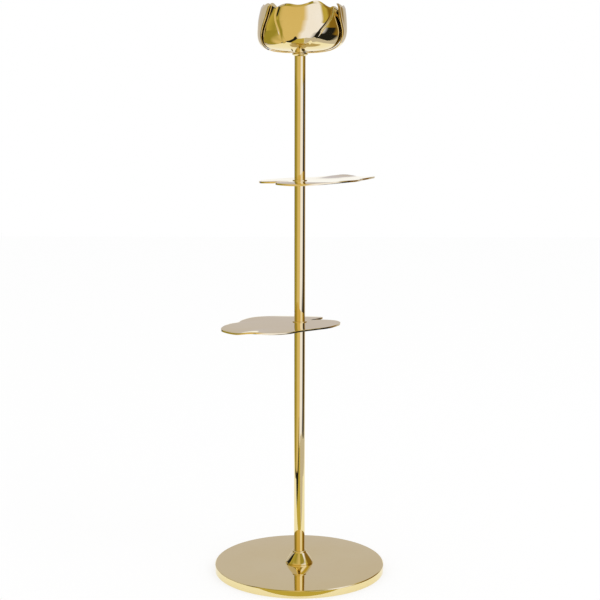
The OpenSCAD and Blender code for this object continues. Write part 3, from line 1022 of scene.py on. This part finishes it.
CEILING_RING = [
    (-116, GOLD_CARD_AND_BOUNCE_GLOW),
    (-60, OLIVE_WALL),
    (-14, TAN_WALL),
    (4, OLIVE_WALL),
    (42, OLIVE_WALL),
    (52, SOFT_BOX),
    (78, SOFT_BOX),
    (92, GOLD_CARD_AND_BOUNCE_GLOW),
    (116, GOLD_CARD_AND_BOUNCE_GLOW),
]
print("stops in the middle ring:", len(BACK_LEFT + MIDDLE_RING + BACK_RIGHT))

# %% [markdown]
# The soft box does not stand upright. Its left edge leans, which is why the pale half of the front petal
# has a slanting border. So each ring is read at a bearing counted from that edge, and a short curve says
# where the edge is at each height. On the far left the black card leans by itself, one degree round for
# each degree up. Behind the stand nothing leans, so the sweep stays where the camera sees it.

# %% Read directions and rays
# elevation in degrees, bearing of the soft box's left edge in degrees
BOX_EDGE = [(-90, -15), (-20, -6), (0, 6), (12, 11), (90, 18)]
LEAN_UNIT = 90
# bearings between which the black card's own lean begins, and between which all lean ends
CARD_LEAN = (-70, -98)
LEAN_ENDS = (130, 160)
# elevations between which one ring gives way to the next
MIDDLE_FROM, CEILING_FROM = (-17, -10), (36, 46)
EVEN_LIGHT = (0.95, 0.95, 0.95)
# elevation of the picture's top edge, from the camera's tilt and its lens
PICTURE_TOP = math.degrees(camera_data.angle / 2 - CAMERA_TILT_DOWN)


def smooth_step(tree, value, stretch, low=0.0, high=1.0):
    """stretch: (start, end) in degrees"""
    start, end = (math.radians(degrees) for degrees in stretch)
    limits = {"From Min": start, "From Max": end, "To Min": low, "To Max": high}
    node = add_node(tree, "ShaderNodeMapRange", limits, interpolation_type="SMOOTHSTEP")
    wire(tree, value, node.inputs["Value"])
    return node.outputs[0]


def seen_rays(tree, names):
    rays = add_node(tree, "ShaderNodeLightPath")
    seen = rays.outputs[names[0]]
    for name in names[1:]:
        seen = math_node(tree, "MAXIMUM", seen, rays.outputs[name])
    return seen


def pick_shader(tree, share, first, second):
    node = add_node(tree, "ShaderNodeMixShader")
    wire(tree, share, node.inputs["Fac"])
    wire(tree, first.outputs[0], node.inputs[1])
    wire(tree, second.outputs[0], node.inputs[2])
    return node


def leaning_bearing(tree, compass, elevation):
    edge = add_node(tree, "ShaderNodeValToRGB")
    fill_ramp(edge.color_ramp, [((e + 90) / 180, (0.5 + b / LEAN_UNIT,) * 3) for e, b in BOX_EDGE])
    wire(tree, math_node(tree, "MULTIPLY_ADD", elevation, 1 / math.pi, 0.5), edge.inputs["Fac"])
    box_lean = math_node(tree, "SUBTRACT", edge.outputs["Color"], 0.5)
    box_lean = math_node(tree, "MULTIPLY", box_lean, math.radians(LEAN_UNIT))
    lean = add_node(tree, "ShaderNodeMix", data_type="FLOAT")
    wire(tree, smooth_step(tree, compass, CARD_LEAN), lean.inputs["Factor"])
    for place, socket in zip(MIX_NUMBERS, (box_lean, elevation)):
        wire(tree, socket, lean.inputs[place])
    to_side = math_node(tree, "ABSOLUTE", compass)
    fade = smooth_step(tree, to_side, LEAN_ENDS, 1.0, 0.0)
    return math_node(tree, "SUBTRACT", compass, math_node(tree, "MULTIPLY", lean.outputs[0], fade))


print("the picture ends", round(PICTURE_TOP, 1), "degrees above the horizon")


# %% Paint the studio
def glowing_background(tree, tone=WHITE_SWEEP):
    return add_node(tree, "ShaderNodeBackground", {"Color": (*tone, 1), "Strength": 1.0})


def build_world():
    world = bpy.data.worlds.new("studio")
    bpy.context.scene.world = world
    world.use_nodes = True
    tree = world.node_tree
    tree.nodes.clear()
    place = add_node(tree, "ShaderNodeTexCoord")
    parts = add_node(tree, "ShaderNodeSeparateXYZ")
    wire(tree, place.outputs["Generated"], parts.inputs[0])
    x, y, z = parts.outputs
    compass = math_node(tree, "ARCTAN2", x, math_node(tree, "MULTIPLY", y, -1.0))
    elevation = math_node(tree, "ARCSINE", z)
    bearing = leaning_bearing(tree, compass, elevation)
    turn = math_node(tree, "MULTIPLY_ADD", bearing, 1 / (2 * math.pi), 0.5)

    def ring(stops):
        node = add_node(tree, "ShaderNodeValToRGB")
        fill_ramp(node.color_ramp, [((degrees + 180) / 360, tone) for degrees, tone in stops])
        wire(tree, turn, node.inputs["Fac"])
        return node.outputs["Color"]

    def over(stretch, under, upper):
        return mix_colours(tree, smooth_step(tree, elevation, stretch), under, upper)

    low = ring(BACK_LEFT + LOW_RING + BACK_RIGHT)
    middle = ring(BACK_LEFT + MIDDLE_RING + BACK_RIGHT)
    room = over(MIDDLE_FROM, low, middle)
    room = over((PICTURE_TOP, PICTURE_TOP + 1), room, ring(WALL_LEFT + UPPER_RING + WALL_RIGHT))
    room = over(CEILING_FROM, room, ring(WALL_LEFT + CEILING_RING + WALL_RIGHT))
    studio = glowing_background(tree)
    wire(tree, room, studio.inputs["Color"])
    metal_sees = seen_rays(tree, ("Is Glossy Ray", "Is Transmission Ray"))
    lit = pick_shader(tree, metal_sees, glowing_background(tree, EVEN_LIGHT), studio)
    camera_sees = seen_rays(tree, ("Is Camera Ray",))
    surface = pick_shader(tree, camera_sees, lit, glowing_background(tree, WHITE_SWEEP))
    out = add_node(tree, "ShaderNodeOutputWorld")
    wire(tree, surface.outputs[0], out.inputs["Surface"])
    return world


print("studio painted:", build_world().name)

# %% [markdown]
# ## The table, the cards on it, and painted bounce light and shadow
#
# The stand stands on a white table, which ends about half a metre in front of it. Camera, glossy and
# transmission rays all see the same white with a trace of shadow, so the metal shows the table that the
# camera shows. Seen from below the table is left out, which Geometry's Backfacing decides, so that the
# felt can be looked at. Where the picture doesn't reach, the table carries patches that only the metal
# sees: painted gold light in front of the foot, for the glow that the polished disc throws there, and grey
# cards to both sides. Past the table's left edge lies a painted shadow, a dark patch for the floor in the
# table's shade, which draws the long streak low on the stem. They are mirrored but never seen, so to every
# other ray they are clear.

# %% Mark out the table, the cards and the painted bounce light and shadow
# corners in metres, x to the right and y away from the camera
CARDS_START = -0.0775  # just in front of the line where the picture's bottom edge meets the table
GOLD_LEFT_EDGE = [(-0.1, -0.25), (-0.05, -0.42)]
TABLE_EDGE = [
    (-2.2, 3.0),
    (-0.34, 0.3),
    (-0.285, 0.05),
    (-0.258, CARDS_START),
    (-0.13, CARDS_START - 0.001),
    *GOLD_LEFT_EDGE,
    (0.16, -0.52),
    (0.46, -0.34),
    (0.5, 0.1),
    (2.4, 3.0),
]
# painted bounce light: the patch of gold glow in front of the foot
GOLD_BOUNCE_CORNERS = [(-0.13, CARDS_START), *GOLD_LEFT_EDGE, (0.1, -0.47), (0.05, CARDS_START)]
RIGHT_CARD_CORNERS = [
    (0.052, CARDS_START),
    (0.105, -0.46),
    (0.16, -0.51),
    (0.45, -0.34),
    (0.49, 0.1),
    (2.3, 2.9),
    (0.92, 2.9),
    (0.265, CARDS_START),
]
LEFT_CARD_CORNERS = [(-0.284, 0.06), (-0.34, 0.3), (-2.1, 2.9), (-0.92, 2.9)]
# painted shadow: the floor in the table's shade past its left edge
FLOOR_SHADE_CORNERS = [
    (-0.258, CARDS_START),
    (-0.285, 0.05),
    (-0.33, 0.0),
    (-0.28, -0.11),
    (-0.2, -0.23),
    (-0.165, -0.42),
    (-0.18, -0.68),
    (-0.13, -0.68),
    (-0.06, -0.42),
    (-0.1, -0.25),
    (-0.13, CARDS_START - 0.001),
]
print("the cards start", -CARDS_START, "m in front of the stand's axis")

# %% Set the table, lay the cards and the painted bounce light and shadow
CARD_LIFT = 1 * MM
WHITE_SHARE = 0.7  # how much of the table's white is its own glow, and not the light on it


def glowing_tone(tree, tone):
    return add_node(tree, "ShaderNodeEmission", {"Color": (*tone, 1), "Strength": 1.0})


def table_surface(tree):
    plain = add_node(tree, "ShaderNodeBsdfDiffuse", {"Color": (*WHITE_SWEEP, 1)})
    white = glowing_tone(tree, WHITE_SWEEP)
    picture = add_node(tree, "ShaderNodeMixShader", {"Fac": WHITE_SHARE})
    wire(tree, plain.outputs[0], picture.inputs[1])
    wire(tree, white.outputs[0], picture.inputs[2])
    seen = seen_rays(tree, ("Is Camera Ray", "Is Glossy Ray", "Is Transmission Ray"))
    surface = pick_shader(tree, seen, plain, picture)
    side = add_node(tree, "ShaderNodeNewGeometry")
    clear = add_node(tree, "ShaderNodeBsdfTransparent")
    return pick_shader(tree, side.outputs["Backfacing"], surface, clear)


def mirrored_patch_surface(tree, tone):
    clear = add_node(tree, "ShaderNodeBsdfTransparent")
    seen = seen_rays(tree, ("Is Glossy Ray", "Is Transmission Ray"))
    return pick_shader(tree, seen, clear, glowing_tone(tree, tone))


def lay_flat(name, corners, height, make_surface):
    mesh = bpy.data.meshes.new(name)
    mesh.from_pydata([(x, y, height) for x, y in corners], [], [tuple(range(len(corners)))])
    if mesh.polygons[0].normal.z < 0:
        mesh.flip_normals()
    piece = bpy.data.objects.new(name, mesh)
    bpy.context.scene.collection.objects.link(piece)
    material, tree = new_material(name)
    tree.nodes.clear()
    out = add_node(tree, "ShaderNodeOutputMaterial")
    wire(tree, make_surface(tree).outputs[0], out.inputs["Surface"])
    mesh.materials.append(material)
    return piece


def lay_mirrored_patch(name, corners, height, tone):
    return lay_flat(name, corners, height, lambda tree: mirrored_patch_surface(tree, tone))


lay_flat("table", TABLE_EDGE, 0, table_surface)
# painted light: a glow of gold on the table, as the polished disc throws it, seen by the metal only
lay_mirrored_patch("painted_gold_bounce", GOLD_BOUNCE_CORNERS, CARD_LIFT, GOLD_CARD_AND_BOUNCE_GLOW)
lay_mirrored_patch("grey_card_right", RIGHT_CARD_CORNERS, CARD_LIFT, GREY_WALL)
lay_mirrored_patch("grey_card_left", LEFT_CARD_CORNERS, CARD_LIFT, GREY_WALL)
# painted shadow: a near-black patch for the floor in the table's shade, seen by the metal only
lay_mirrored_patch("painted_floor_shade", FLOOR_SHADE_CORNERS, 0, BLACK_CARD_AND_FLOOR_SHADE)
print("table set, cards laid")

# %% [markdown]
# ## One soft lamp
#
# The rings light nothing but reflections, and the even light has no direction. A single wide lamp on the
# right gives the felt and the table a direction of light and a soft shadow.

# %% Hang the lamp
LAMP_AT, LAMP_AIM = Vector((1.5, -1.2, 1.6)), Vector((0, 0, 0.2))
LAMP_WATTS = 6.0

lamp_data = bpy.data.lights.new("soft lamp", "AREA")
lamp_data.shape = "RECTANGLE"
lamp_data.size, lamp_data.size_y = 1.0, 1.4
lamp_data.energy = LAMP_WATTS
lamp = bpy.data.objects.new("soft lamp", lamp_data)
lamp.location = LAMP_AT
lamp.rotation_euler = (LAMP_AIM - LAMP_AT).to_track_quat("-Z", "Y").to_euler()
lamp.visible_camera = False
lamp.visible_glossy = False
bpy.context.scene.collection.objects.link(lamp)
print("lamp at", tuple(round(v, 2) for v in lamp.location))
